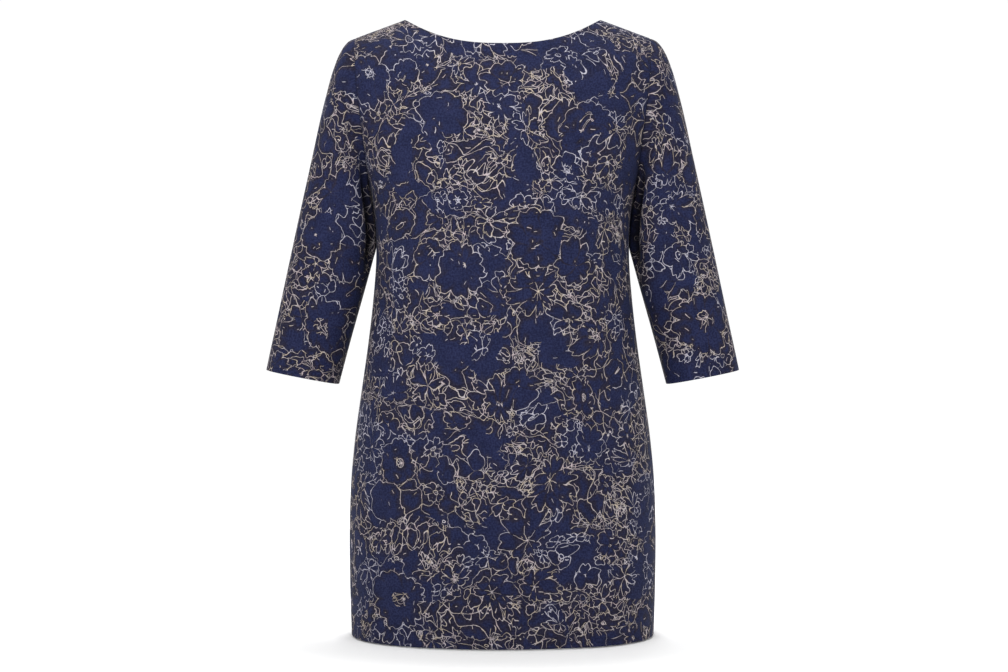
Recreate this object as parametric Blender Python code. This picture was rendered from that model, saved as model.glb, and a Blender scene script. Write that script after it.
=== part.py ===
import bpy
import numpy as np

# Shift dress with a boat neck and three-quarter sleeves, hollow as it is worn.
# Metres. The front faces -Y, +X is to the right in a front view and +Z is up.
# The origin is midway between the neck ends of the two shoulder seams.

# body lengths
HEM_BELOW = 0.878        # origin down to the hem
UNDERARM_BELOW = 0.243   # origin down to the lowest point of an armhole
NECK_HALF = 0.1405       # centre to the neck end of a shoulder seam
SHOULDER_HALF = 0.211    # centre to the arm end of a shoulder seam
SHOULDER_SLOPE = 0.375   # fall of the shoulder line for each metre outward
SHOULDER_EASE = 0.03     # rounds the shoulder line where it crosses the centre
NECK_CURVE = 2.6         # higher is flatter at the centre, steeper at the ends
SHOULDER_ROLL = 0.085    # height over which the cloth turns from the shoulder to the chest
SECTION = 2.2            # exponent of the oval sections, 2 is an ellipse

# cloth
WALL = 0.0012
HEM_WALL = 0.0022        # turned-up hem, two layers
CUFF_WALL = 0.0020
NECK_WALL = 0.0018
HEM_TURN = 0.030         # height of the turned-up hem
CUFF_TURN = 0.045        # turned-up end of a sleeve, as a share of its length
TURN_STEP = 0.0015       # height of the slope at the top of the turned-up hem
CUFF_STEP = 0.003        # the same at the sleeve's end, as a share of its length
SEAM_GAP = 0.0003        # between two sewn pieces

# body sections; depths run from the side seam plane to the centre front and back
BODY = (
    {"below": 0.000, "half_width": 0.2640, "front": 0.062, "back": 0.058},
    {"below": 0.050, "half_width": 0.2480, "front": 0.084, "back": 0.080},
    {"below": 0.100, "half_width": 0.2310, "front": 0.107, "back": 0.097},
    {"below": 0.150, "half_width": 0.2145, "front": 0.126, "back": 0.106},
    {"below": 0.200, "half_width": 0.2000, "front": 0.139, "back": 0.109},
    {"below": 0.243, "half_width": 0.1895, "front": 0.1455, "back": 0.108},
    {"below": 0.290, "half_width": 0.1823, "front": 0.1485, "back": 0.105},
    {"below": 0.335, "half_width": 0.1807, "front": 0.148, "back": 0.102},
    {"below": 0.400, "half_width": 0.1850, "front": 0.1445, "back": 0.102},
    {"below": 0.460, "half_width": 0.1918, "front": 0.142, "back": 0.107},
    {"below": 0.520, "half_width": 0.2002, "front": 0.142, "back": 0.116},
    {"below": 0.600, "half_width": 0.2112, "front": 0.144, "back": 0.128},
    {"below": 0.660, "half_width": 0.2166, "front": 0.146, "back": 0.134},
    {"below": 0.720, "half_width": 0.2187, "front": 0.148, "back": 0.136},
    {"below": 0.800, "half_width": 0.2182, "front": 0.149, "back": 0.136},
    {"below": 0.878, "half_width": 0.2158, "front": 0.150, "back": 0.136},
)
NECK_DROP = {"front": 0.0442, "back": 0.030}

# the armhole leaves the side seam level and turns up: shares of a steep and an even rise
ARMHOLE_STEEP = 0.80
ARMHOLE_EVEN = 0.20

# soft upright flutes that grow from the hip to the hem
FLUTES = {
    "front": ({"waves": 7.0, "phase": 0.6, "depth": 0.0014}, {"waves": 11.0, "phase": 2.1, "depth": 0.0006}),
    "back": ({"waves": 6.0, "phase": 1.9, "depth": 0.0018}, {"waves": 9.0, "phase": 0.3, "depth": 0.0008}),
}
FLUTE_TOP = 0.56

# sleeve edges in the plane of the side seams: along the top of the arm and along the underarm
SLEEVE_OUTER = (
    {"out": 0.2110, "below": 0.0265},
    {"out": 0.2200, "below": 0.0307},
    {"out": 0.2262, "below": 0.0371},
    {"out": 0.2332, "below": 0.0485},
    {"out": 0.2416, "below": 0.0695},
    {"out": 0.2537, "below": 0.1126},
    {"out": 0.2733, "below": 0.2000},
    {"out": 0.3102, "below": 0.3721},
    {"out": 0.3369, "below": 0.5008},
)
SLEEVE_INNER = (
    {"out": 0.1895, "below": 0.2430},
    {"out": 0.1848, "below": 0.2700},
    {"out": 0.1815, "below": 0.3000},
    {"out": 0.1812, "below": 0.3250},
    {"out": 0.1860, "below": 0.3440},
    {"out": 0.1935, "below": 0.3720},
    {"out": 0.2015, "below": 0.4010},
    {"out": 0.2173, "below": 0.4580},
    {"out": 0.2338, "below": 0.5210},
)
SLEEVE_DEPTH = (
    {"along": 0.00, "half_depth": 0.053, "forward": 0.000},
    {"along": 0.30, "half_depth": 0.058, "forward": 0.000},
    {"along": 0.65, "half_depth": 0.053, "forward": 0.004},
    {"along": 1.00, "half_depth": 0.048, "forward": 0.010},
)
SLEEVE_CLEAR = 0.0006    # least distance between a sleeve and the body below the underarm
CLEAR_FADE = 0.012       # height below the underarm over which that distance sets in
CAP_BLEND = 0.45         # share of the sleeve over which the armhole shape fades out
INNER_SPACING = 1.6      # rings crowd together at the underarm

# grid sizes
SIDE_ROWS = 19
ARMHOLE_ROWS = 13
SHOULDER_COLUMNS = 6
NECK_COLUMNS = 20
SLEEVE_ROWS = 20

COLOUR = (0.024, 0.028, 0.072, 1.0)


def curve(rows, at, key, column):
    """Smooth value of one column of a table."""
    knots = np.array([row[key] for row in rows])
    values = np.array([row[column] for row in rows])
    slopes = np.gradient(values, knots)
    at = np.clip(at, knots[0], knots[-1])
    i = np.clip(np.searchsorted(knots, at) - 1, 0, len(knots) - 2)
    step = knots[i + 1] - knots[i]
    t = (at - knots[i]) / step
    start = (1 + 2 * t) * (1 - t) ** 2 * values[i] + t * (1 - t) ** 2 * step * slopes[i]
    end = t * t * (3 - 2 * t) * values[i + 1] + t * t * (t - 1) * step * slopes[i + 1]
    return start + end


def ease(t):
    t = np.clip(t, 0.0, 1.0)
    return t * t * (3 - 2 * t)


def unit(vectors):
    return vectors / np.linalg.norm(vectors, axis=-1, keepdims=True)


def shoulder_line(x):
    """Height of the shoulder line at x; it passes through the origin's level at the neck end."""
    reach = np.hypot(NECK_HALF, SHOULDER_EASE)
    return SHOULDER_SLOPE * (reach - np.hypot(x, SHOULDER_EASE))


def half_width(z):
    return curve(BODY, -z, "below", "half_width")


def across(angle):
    return np.sign(np.cos(angle)) * np.abs(np.cos(angle)) ** (2 / SECTION)


def deep(angle):
    return np.clip(np.sin(angle), 0, 1) ** (2 / SECTION)


def angle_at(x, z):
    """Section angle whose point lies at x at the height z."""
    share = np.clip(x / half_width(z), -1, 1)
    return np.arccos(np.sign(share) * np.abs(share) ** (SECTION / 2))


def drape_of(fall):
    """Length along the cloth below the shoulder line, from the drop below it."""
    bend = np.arccos(np.clip(1 - fall / SHOULDER_ROLL, 0, 1))
    return np.where(fall < SHOULDER_ROLL, SHOULDER_ROLL * bend, fall + SHOULDER_ROLL * (np.pi / 2 - 1))


def fall_of(drape):
    """Drop below the shoulder line and share of the full depth, from the length along the cloth."""
    bend = np.clip(drape / SHOULDER_ROLL, 0, np.pi / 2)
    straight = np.maximum(drape - SHOULDER_ROLL * np.pi / 2, 0)
    return SHOULDER_ROLL * (1 - np.cos(bend)) + straight, np.sin(bend)


def body_surface(side, angle, drape):
    """Outer face of the body; angle runs over one half from +X (0) to -X (pi)."""
    fall, roll = fall_of(drape)
    x = 0.2 * across(angle)
    for _ in range(20):
        z = shoulder_line(x) - fall
        x = half_width(z) * across(angle)
    z = shoulder_line(x) - fall
    depth = curve(BODY, -z, "below", side) * deep(angle) * roll
    swing = ease((-z - FLUTE_TOP) / (HEM_BELOW - FLUTE_TOP))
    for flute in FLUTES[side]:
        wave = np.cos(flute["waves"] * angle + flute["phase"])
        depth = depth + flute["depth"] * swing * wave * np.sin(angle) ** 2
    y = -depth if side == "front" else depth
    return np.stack([x, y, z], axis=-1)


def armhole(share):
    """Section angle and height along an armhole; share is 0 at the underarm and 1 at the shoulder."""
    top = shoulder_line(SHOULDER_HALF)
    z = -UNDERARM_BELOW + share * (top + UNDERARM_BELOW)
    angle = angle_at(SHOULDER_HALF, top) * (ARMHOLE_STEEP * np.sqrt(share) + ARMHOLE_EVEN * share)
    fall = shoulder_line(half_width(z) * across(angle)) - z
    return angle, drape_of(np.maximum(fall, 0))


def armhole_shares():
    turn = np.linspace(0, np.pi, ARMHOLE_ROWS + 1)
    return (1 - np.cos(turn)) / 2


def blend_inside(bottom, top, right, left):
    """Grid whose four edges are given; rows run up and columns run from right to left."""
    v = np.linspace(0, 1, len(right))[:, None]
    u = np.linspace(0, 1, len(bottom))[None, :]
    rows = (1 - v) * bottom[None, :] + v * top[None, :]
    columns = (1 - u) * right[:, None] + u * left[:, None]
    low = (1 - u) * bottom[0] + u * bottom[-1]
    high = (1 - u) * top[0] + u * top[-1]
    return rows + columns - ((1 - v) * low + v * high)


def panel_grid(side):
    """Outer face of the front or back panel as rows and columns of points."""
    count = 2 * SHOULDER_COLUMNS + NECK_COLUMNS
    angles = np.linspace(0, np.pi, count + 1)

    def level_row(z):
        x = half_width(np.full(count + 1, z)) * across(angles)
        return drape_of(shoulder_line(x) - z)

    band = -HEM_BELOW + HEM_TURN + TURN_STEP
    side_z = np.linspace(band, -UNDERARM_BELOW, SIDE_ROWS + 1)
    side_drape = drape_of(shoulder_line(half_width(side_z)) - side_z)
    arm_angle, arm_drape = armhole(armhole_shares()[1:])
    right_angle = np.concatenate([np.zeros(SIDE_ROWS + 1), arm_angle])
    right_drape = np.concatenate([side_drape, arm_drape])

    shoulder_x = np.linspace(SHOULDER_HALF, NECK_HALF, SHOULDER_COLUMNS + 1)
    neck_x = NECK_HALF * np.cos(np.linspace(0, np.pi, NECK_COLUMNS + 1)[1:-1])
    top_x = np.concatenate([shoulder_x, neck_x, -shoulder_x[::-1]])
    inside = np.abs(top_x) < NECK_HALF
    dip = NECK_DROP[side] * (1 - (np.abs(top_x) / NECK_HALF) ** NECK_CURVE)
    top_z = np.where(inside, -dip, shoulder_line(top_x))
    top_angle = angle_at(top_x, top_z)
    top_drape = drape_of(np.maximum(shoulder_line(top_x) - top_z, 0))

    angle = blend_inside(angles, top_angle, right_angle, np.pi - right_angle)
    drape = blend_inside(level_row(band), top_drape, right_drape, right_drape)
    hem_rows = [-HEM_BELOW, -HEM_BELOW + HEM_TURN]
    angle = np.vstack([np.tile(angles, (2, 1)), angle])
    drape = np.vstack([np.stack([level_row(z) for z in hem_rows]), drape])
    return body_surface(side, angle, drape)


def outward(grid, closed):
    """Unit normals of a grid of points, pointing out of the cloth tube."""
    if closed:
        padded = np.concatenate([grid[:, -1:], grid, grid[:, :1]], axis=1)
        along = np.gradient(padded, axis=1)[:, 1:-1]
    else:
        along = np.gradient(grid, axis=1, edge_order=2)
    up = np.gradient(grid, axis=0)
    return unit(np.cross(along, up))


def seam_normal():
    """Direction across an armhole seam, from the body to the sleeve on the +X side."""
    rise = shoulder_line(SHOULDER_HALF) + UNDERARM_BELOW
    lean = SHOULDER_HALF - half_width(np.array(-UNDERARM_BELOW))
    return unit(np.array([rise, 0.0, -lean]))


def hold_side(offsets, across_seam, sign):
    """Keep the inner edge of a piece on its own side of the armhole seam."""
    crossing = np.minimum(sign * (offsets @ across_seam), 0)
    held = offsets - sign * crossing[..., None] * across_seam
    return unit(held) * np.linalg.norm(offsets, axis=-1, keepdims=True)


def shell_faces(rows, columns, closed):
    """Faces of a thin closed body: outer grid, inner grid and the edge faces between them."""
    span = columns if closed else columns - 1
    i, j = np.meshgrid(np.arange(rows - 1), np.arange(span), indexing="ij")
    k = (j + 1) % columns
    outer = np.stack([i * columns + j, i * columns + k, (i + 1) * columns + k, (i + 1) * columns + j], axis=-1)
    faces = [outer.reshape(-1, 4), (outer[..., ::-1] + rows * columns).reshape(-1, 4)]
    first = np.arange(span)
    second = (first + 1) % columns
    last = (rows - 1) * columns
    shift = rows * columns
    faces.append(np.stack([second, first, first + shift, second + shift], axis=-1))
    faces.append(np.stack([last + first, last + second, last + second + shift, last + first + shift], axis=-1))
    if not closed:
        low = np.arange(rows - 1) * columns
        high = low + columns
        end = columns - 1
        faces.append(np.stack([low, high, high + shift, low + shift], axis=-1))
        faces.append(np.stack([high + end, low + end, low + end + shift, high + end + shift], axis=-1))
    return np.concatenate(faces)


def add_piece(name, outer, inner, closed):
    rows, columns = outer.shape[:2]
    points = np.concatenate([outer.reshape(-1, 3), inner.reshape(-1, 3)])
    faces = shell_faces(rows, columns, closed)
    mesh = bpy.data.meshes.new(name)
    mesh.from_pydata(points.tolist(), [], faces.tolist())
    mesh.validate()
    mesh.update()
    mesh.shade_smooth()
    material = bpy.data.materials.new(name + "_cloth")
    material.use_nodes = True
    shader = material.node_tree.nodes["Principled BSDF"]
    shader.inputs["Base Color"].default_value = COLOUR
    shader.inputs["Roughness"].default_value = 0.8
    mesh.materials.append(material)
    bpy.context.collection.objects.link(bpy.data.objects.new(name, mesh))


def add_panel(side):
    grid = panel_grid(side)
    if side == "front":
        grid = grid[:, ::-1]
    rows, columns = grid.shape[:2]
    normals = outward(grid, False)
    seam_rows = slice(0, SIDE_ROWS + 3)
    normals[seam_rows, [0, -1], 1] = 0
    normals[-1, : SHOULDER_COLUMNS + 1, 1] = 0
    normals[-1, columns - SHOULDER_COLUMNS - 1 :, 1] = 0
    normals = unit(normals)
    wall = np.full((rows, columns, 1), WALL)
    wall[:2] = HEM_WALL
    wall[-1, SHOULDER_COLUMNS : columns - SHOULDER_COLUMNS] = NECK_WALL
    offsets = -normals * wall
    arm_rows = slice(SIDE_ROWS + 2, rows)
    for column in (0, -1):
        out = np.sign(grid[0, column, 0])
        across_seam = seam_normal() * np.array([out, 1, 1])
        offsets[arm_rows, column] = hold_side(offsets[arm_rows, column], across_seam, -1)
    shift = np.array([0, -SEAM_GAP / 2 if side == "front" else SEAM_GAP / 2, 0])
    add_piece(side, grid + shift, grid + offsets + shift, False)


def edge_line(rows, share):
    """Point on a sleeve edge at a share of its length."""
    out = np.array([row["out"] for row in rows])
    below = np.array([row["below"] for row in rows])
    length = np.concatenate([[0], np.cumsum(np.hypot(np.diff(out), np.diff(below)))])
    table = [{"length": a, "out": b, "below": c} for a, b, c in zip(length / length[-1], out, below)]
    x = curve(table, share, "length", "out")
    z = -curve(table, share, "length", "below")
    return np.stack([x, np.zeros_like(x), z], axis=-1)


def clear_of_body(grid):
    """Push the inner side of the sleeve out until it just lies along the side of the body."""
    x, y, z = np.moveaxis(grid, -1, 0)
    depth = np.where(y < 0, curve(BODY, -z, "below", "front"), curve(BODY, -z, "below", "back"))
    share = np.clip(np.abs(y) / depth, 0, 1)
    side = half_width(z) * (1 - share ** SECTION) ** (1 / SECTION) + SLEEVE_CLEAR
    below = ease((-z - UNDERARM_BELOW) / CLEAR_FADE)
    pushed = x + np.maximum(side - x, 0) * below
    return np.stack([pushed, y, z], axis=-1)


def sleeve_grid():
    """Outer face of the sleeve on the +X side; rows run from the armhole to the cuff."""
    single = 1 - CUFF_TURN - CUFF_STEP
    share = np.concatenate([np.linspace(0, single, SLEEVE_ROWS + 1), [1 - CUFF_TURN, 1]])
    outer = edge_line(SLEEVE_OUTER, share)
    inner = edge_line(SLEEVE_INNER, share ** INNER_SPACING)
    middle = (outer + inner) / 2
    middle[:, 1] = -curve(SLEEVE_DEPTH, share, "along", "forward")
    reach = (outer - inner) / 2
    half_depth = curve(SLEEVE_DEPTH, share, "along", "half_depth")
    turn = np.linspace(0, 2 * np.pi, 2 * ARMHOLE_ROWS, endpoint=False)
    width = across(turn)[None, :, None]
    depth = (np.sign(np.sin(turn)) * np.abs(np.sin(turn)) ** (2 / SECTION))[None, :]
    grid = middle[:, None] + reach[:, None] * width
    grid[..., 1] -= half_depth[:, None] * depth

    angle, drape = armhole(armhole_shares())
    front = body_surface("front", angle, drape)[::-1]
    back = body_surface("back", angle, drape)
    loop = np.concatenate([front, back[1:-1]])
    start = loop + seam_normal() * SEAM_GAP
    fade = 1 - ease(share / CAP_BLEND)
    grid = grid + (start - grid[0]) * fade[:, None, None]
    grid[1:] = clear_of_body(grid[1:])
    return grid


def add_sleeve(name, out):
    grid = sleeve_grid()
    normals = outward(grid, True)
    wall = np.full((len(grid), 1, 1), WALL)
    wall[-2:] = CUFF_WALL
    offsets = -normals * wall
    offsets[0] = hold_side(offsets[0], seam_normal(), 1)
    mirror = np.array([out, 1, 1])
    outer = grid * mirror
    inner = (grid + offsets) * mirror
    if out < 0:
        outer = outer[:, ::-1]
        inner = inner[:, ::-1]
    add_piece(name, outer, inner, True)


def build():
    for old in list(bpy.data.objects):
        bpy.data.objects.remove(old)
    add_panel("front")
    add_panel("back")
    add_sleeve("sleeve_right", 1)
    add_sleeve("sleeve_left", -1)


build()
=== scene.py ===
from functools import partial
import bpy
import numpy as np
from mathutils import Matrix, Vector


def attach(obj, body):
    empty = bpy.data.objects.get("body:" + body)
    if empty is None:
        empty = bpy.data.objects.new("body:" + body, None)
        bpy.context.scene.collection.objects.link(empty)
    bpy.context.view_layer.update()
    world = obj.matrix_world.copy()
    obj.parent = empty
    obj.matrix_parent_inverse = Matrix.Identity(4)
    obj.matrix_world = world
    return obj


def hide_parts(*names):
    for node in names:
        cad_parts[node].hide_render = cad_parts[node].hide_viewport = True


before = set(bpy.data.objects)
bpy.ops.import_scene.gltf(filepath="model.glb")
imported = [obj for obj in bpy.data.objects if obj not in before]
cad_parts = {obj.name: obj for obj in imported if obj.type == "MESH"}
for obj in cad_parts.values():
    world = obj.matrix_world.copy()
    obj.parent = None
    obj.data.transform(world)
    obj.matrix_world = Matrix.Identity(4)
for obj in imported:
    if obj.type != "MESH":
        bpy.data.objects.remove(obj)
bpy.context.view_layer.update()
print("frame loaded")

# Shift dress with a boat neck and three-quarter sleeves, hollow as it is worn.
# Metres. The front faces -Y, +X is to the right in a front view and the hem is at z = -0.878.

scene = bpy.context.scene
scene.view_settings.view_transform = "Standard"


def newObject(name, data):
    item = bpy.data.objects.new(name, data)
    scene.collection.objects.link(item)
    return item


cameraLook = {"place": (0.0019, -2.76, -0.4524), "turn": (np.pi / 2, 0.0, 0.0), "lens": 68.75, "sensor": 36.0}

studioLook = {
    "floorHeight": -0.8797,  # the hem hangs just clear of it
    "floorSize": 30.0,
    "floor": {"Base Color": (0.99, 0.99, 0.99, 1.0), "Roughness": 0.9, "Specular IOR Level": 0.0},
    "sky": {"Color": (0.991, 0.991, 0.991, 1.0), "Strength": 1.03},
}
studioLights = (  # name, place, what it points at, size in metres, spread in degrees, watts
    ("chestLight", (-0.35, -1.40, 0.62), (0.0, 0.0, -0.17), 0.7, 52.0, 1.35),
    ("sideLight", (-2.0, -2.1, -0.35), (0.0, 0.0, -0.45), 1.6, 180.0, 15.0),
    ("fillLight", (2.0, -2.2, -0.35), (0.0, 0.0, -0.45), 1.6, 180.0, 13.0),
    ("rearLight", (0.3, 2.6, 0.5), (0.0, 0.0, -0.45), 1.6, 180.0, 20.0),
    ("topLight", (0.0, 0.45, 2.2), (0.0, 0.0, -0.88), 0.5, 70.0, 4.0),
)

# rows of the sections: below the origin, half width, front depth, back depth
body = {
    "hemBelow": 0.878,
    "underarmBelow": 0.243,
    "neckHalf": 0.1405,
    "shoulderHalf": 0.211,
    "shoulderSlope": 0.375,
    "shoulderEase": 0.03,
    "shoulderRoll": 0.085,
    "neckCurve": 2.6,
    "neckDrop": {"front": 0.0442, "back": 0.030},
    "ovalPower": 2.2,
    "firstHalf": 0.2, "searchRounds": 20,  # of the search for a point's height
    "armholeSteep": 0.80,
    "armholeEven": 0.20,
    "sections": np.array([
        (0.000, 0.2640, 0.0620, 0.058),
        (0.050, 0.2480, 0.0840, 0.080),
        (0.100, 0.2310, 0.1070, 0.097),
        (0.150, 0.2145, 0.1260, 0.106),
        (0.200, 0.2000, 0.1390, 0.109),
        (0.243, 0.1895, 0.1455, 0.108),
        (0.290, 0.1823, 0.1485, 0.105),
        (0.335, 0.1807, 0.1480, 0.102),
        (0.400, 0.1850, 0.1445, 0.102),
        (0.460, 0.1918, 0.1420, 0.107),
        (0.520, 0.2002, 0.1420, 0.116),
        (0.600, 0.2112, 0.1440, 0.128),
        (0.660, 0.2166, 0.1460, 0.134),
        (0.720, 0.2187, 0.1480, 0.136),
        (0.800, 0.2182, 0.1490, 0.136),
        (0.878, 0.2158, 0.1500, 0.136),
    ]),
    "depthColumn": {"front": 2, "back": 3},
    "fluteTop": 0.56,
    "flutes": {  # soft upright waves from hip to hem: waves round one half, phase, depth
        "front": ((7.0, 0.6, 0.0014), (11.0, 2.1, 0.0006)),
        "back": ((6.0, 1.9, 0.0018), (9.0, 0.3, 0.0008)),
    },
}

# sleeve edges in the plane of the side seams: out, below; depth rows: along, half depth, forward
sleeveLook = {
    "outer": np.array([
        (0.2110, 0.0265), (0.2200, 0.0307), (0.2262, 0.0371), (0.2332, 0.0485), (0.2416, 0.0695),
        (0.2537, 0.1126), (0.2733, 0.2000), (0.3102, 0.3721), (0.3369, 0.5008),
    ]),
    "inner": np.array([
        (0.1895, 0.2430), (0.1848, 0.2700), (0.1815, 0.3000), (0.1812, 0.3250), (0.1860, 0.3440),
        (0.1935, 0.3720), (0.2015, 0.4010), (0.2173, 0.4580), (0.2338, 0.5210),
    ]),
    "depths": np.array([(0.0, 0.053, 0.0), (0.30, 0.058, 0.0), (0.65, 0.053, 0.004), (1.0, 0.048, 0.010)]),
    "clear": 0.0006,
    "clearFade": 0.012,
    "capBlend": 0.45,
    "innerSpacing": 1.6,
    "length": 0.497,
    "girth": (0.400, 0.321),  # of the flat cloth at the top and at the cuff
    "turn": 0.022,  # height of the turned-up end
    "columns": 128,
    "rings": 112,
    "foldShadeFull": 0.75,  # share of the deepest hollow from which the cloth counts as deep in the fold and gets the full painted shade
}

clothLook = {
    "wall": 0.0010,
    "turnWall": 0.0021,
    "neckWall": 0.0017,
    "allowance": 0.0006,  # extra thickness of the seam allowances on the wrong side
    "allowanceWidth": 0.0115,
    "hemTurn": 0.030,
    "neckTurn": 0.005,
    "turnFade": 0.0008,
    "allowanceFade": 0.001,
    "neckFade": 0.006,
    "calm": 0.03, "calmUnder": 0.02,  # creases fade out this near to a seam
    "seamHold": 0.004,  # the inner face keeps to its own side of an armhole seam this near to it
    "seamDip": 0.00045,
    "seamReach": 0.0012,
    "seamGap": 0.00006,
    "edgeRound": 0.88,
}

# steps in metres that crowd the grid's lines along seams and edges
seamSteps = np.array([0, 0.3, 0.7, 1.3, 2.1, 3.3, 5.2, 8.2, 10.6, 11.5, 12.5, 15.0]) / 1000
edgeSteps = np.array([0, 0.2, 0.6, 1.05, 2.0, 4.0]) / 1000

panelLook = {
    "shoulder": 6 / 32,  # share of the top edge that one shoulder seam takes
    "underarm": 19 / 32,  # share of the rows up to the underarm
    "shoulderColumns": 20, "neckColumns": 56, "sideRows": 106, "armRows": 66,
    "width": 0.55, "height": 0.8,  # rough sizes that turn steps in metres into shares
    "aboveTurn": 0.0015,
}
mapLook = {"top": 0.002, "rows": 90, "columns": 241}  # table of arcs along the sections


def softStep(t):  # 0 to 1 along 3t^2 - 2t^3
    t = np.clip(t, 0.0, 1.0)
    return t * t * (3 - 2 * t)


def unitOf(vectors):
    return vectors / np.linalg.norm(vectors, axis=-1, keepdims=True)


# cubic through the rows of a table, its slopes taken from the neighbouring rows; column 0 is the place
def smoothTable(table, at, column):
    knots, values = table[:, 0], table[:, column]
    slopes = np.gradient(values, knots)
    at = np.clip(at, knots[0], knots[-1])
    i = np.clip(np.searchsorted(knots, at) - 1, 0, len(knots) - 2)
    step = knots[i + 1] - knots[i]
    t = (at - knots[i]) / step
    start = (1 + 2 * t) * (1 - t) ** 2 * values[i] + t * (1 - t) ** 2 * step * slopes[i]
    end = t * t * (3 - 2 * t) * values[i + 1] + t * t * (t - 1) * step * slopes[i + 1]
    return start + end


# the shoulder line falls evenly outward and is rounded by a hyperbola at the centre
def shoulderHeight(x):
    ease = body["shoulderEase"]
    return body["shoulderSlope"] * (np.hypot(body["neckHalf"], ease) - np.hypot(x, ease))


def sectionAt(z, column):
    return smoothTable(body["sections"], -z, column)


def halfWidth(z):
    return sectionAt(z, 1)


# a section is a superellipse: signed power of the cosine across, power of the sine deep
def ovalAcross(angle):
    return np.sign(np.cos(angle)) * np.abs(np.cos(angle)) ** (2 / body["ovalPower"])


def ovalDeep(angle):
    return np.clip(np.sin(angle), 0, 1) ** (2 / body["ovalPower"])


def ovalAngle(x, z):
    share = np.clip(x / halfWidth(z), -1, 1)
    return np.arccos(np.sign(share) * np.abs(share) ** (body["ovalPower"] / 2))


# length along the cloth from the shoulder line: a quarter circle of the roll's radius, then straight down
def lengthOfFall(fall):
    roll = body["shoulderRoll"]
    bend = np.arccos(np.clip(1 - fall / roll, 0, 1))
    return np.where(fall < roll, roll * bend, fall + roll * (np.pi / 2 - 1))


def fallOfLength(length):
    roll = body["shoulderRoll"]
    bend = np.clip(length / roll, 0, np.pi / 2)
    return roll * (1 - np.cos(bend)) + np.maximum(length - roll * np.pi / 2, 0), np.sin(bend)


# point of the body's outer face: section angle from +X (0) to -X (pi), and length below the shoulder line
def bodyPoint(side, angle, length):
    fall, roll = fallOfLength(length)
    x = body["firstHalf"] * ovalAcross(angle)
    for _ in range(body["searchRounds"]):
        x = halfWidth(shoulderHeight(x) - fall) * ovalAcross(angle)
    z = shoulderHeight(x) - fall
    depth = sectionAt(z, body["depthColumn"][side]) * ovalDeep(angle) * roll
    swing = softStep((-z - body["fluteTop"]) / (body["hemBelow"] - body["fluteTop"]))
    for waves, phase, deep in body["flutes"][side]:
        depth = depth + deep * swing * np.cos(waves * angle + phase) * np.sin(angle) ** 2
    return np.stack([x, -depth if side == "front" else depth, z], axis=-1)


# the armhole leaves the side seam level and turns up: its angle is a root plus an even share of its height
def armholeEdge(share):
    top = shoulderHeight(body["shoulderHalf"])
    z = -body["underarmBelow"] + share * (top + body["underarmBelow"])
    reach = ovalAngle(body["shoulderHalf"], top)
    angle = reach * (body["armholeSteep"] * np.sqrt(share) + body["armholeEven"] * share)
    fall = shoulderHeight(halfWidth(z) * ovalAcross(angle)) - z
    return angle, lengthOfFall(np.maximum(fall, 0))


# surface inside four given edges: the sum of the two straight blends less the blend of the corners
def fillInside(bottom, top, right, left, u, v):
    u, v = u[None, :], v[:, None]
    rows = (1 - v) * bottom[None, :] + v * top[None, :]
    columns = (1 - u) * right[:, None] + u * left[:, None]
    low = (1 - u) * bottom[0] + u * bottom[-1]
    high = (1 - u) * top[0] + u * top[-1]
    return rows + columns - ((1 - v) * low + v * high)


def panelColumns():
    look = panelLook
    near = seamSteps / look["width"]
    shoulder = np.linspace(near[-1], look["shoulder"], look["shoulderColumns"])[1:]
    neck = np.linspace(look["shoulder"], 0.5, look["neckColumns"])[1:]
    half = np.concatenate([near, shoulder, neck])
    return np.concatenate([half, 1 - half[-2::-1]])


def panelRows():
    look = panelLook
    side = np.linspace(0, look["underarm"], look["sideRows"])
    arm = np.linspace(look["underarm"], 1, look["armRows"])[1:-1]
    return np.concatenate([side, arm, 1 - edgeSteps[3::-1] / look["height"]])


# heights of the level rows in the turned-up hem
def hemHeights():
    turn = clothLook["hemTurn"]
    fold = [turn - 0.003, turn - 0.001, turn, turn + 0.0008]
    return np.concatenate([edgeSteps, [0.008, 0.013, 0.018, 0.023], fold])


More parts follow.
